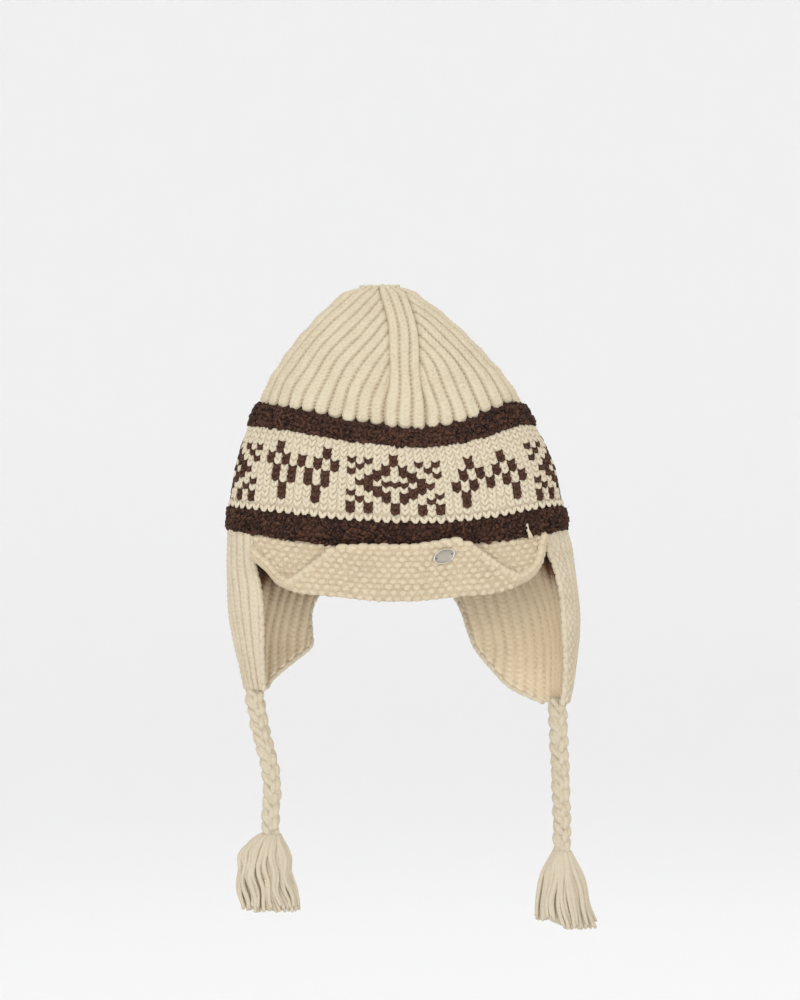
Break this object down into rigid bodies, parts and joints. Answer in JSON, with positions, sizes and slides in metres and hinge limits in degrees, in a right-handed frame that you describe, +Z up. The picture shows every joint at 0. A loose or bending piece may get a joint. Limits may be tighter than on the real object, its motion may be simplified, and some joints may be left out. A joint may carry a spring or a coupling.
{
  "type": "earflap beanie",
  "caption": "Thick knitted winter hat with a ribbed gathered crown, rolled dark stripes round a patterned band, a folded peak, ear flaps and braided ties ending in tassels.",
  "frame": {"origin": "middle of the head opening, at the level of the hem", "axes": "+Z up through the crown, -Y towards the front where the peak is, +X to the right as seen from the front"},
  "size_m": [0.2806, 0.131, 0.4909],
  "materials": {
    "cream_wool": "matte",
    "brown_wool": "matte",
    "plate_metal": "satin"
  },
  "bodies": {
    "root": {"crown": "cream_wool", "upper_stripe": "brown_wool", "pattern_band": "cream_wool", "lower_stripe": "brown_wool", "peak": "cream_wool", "oval_plate": "plate_metal", "ear_flap_left": "cream_wool", "ear_flap_right": "cream_wool", "tie_left": "cream_wool", "tie_right": "cream_wool", "tassel_left": "cream_wool", "tassel_right": "cream_wool"}
  },
  "joints": []
}
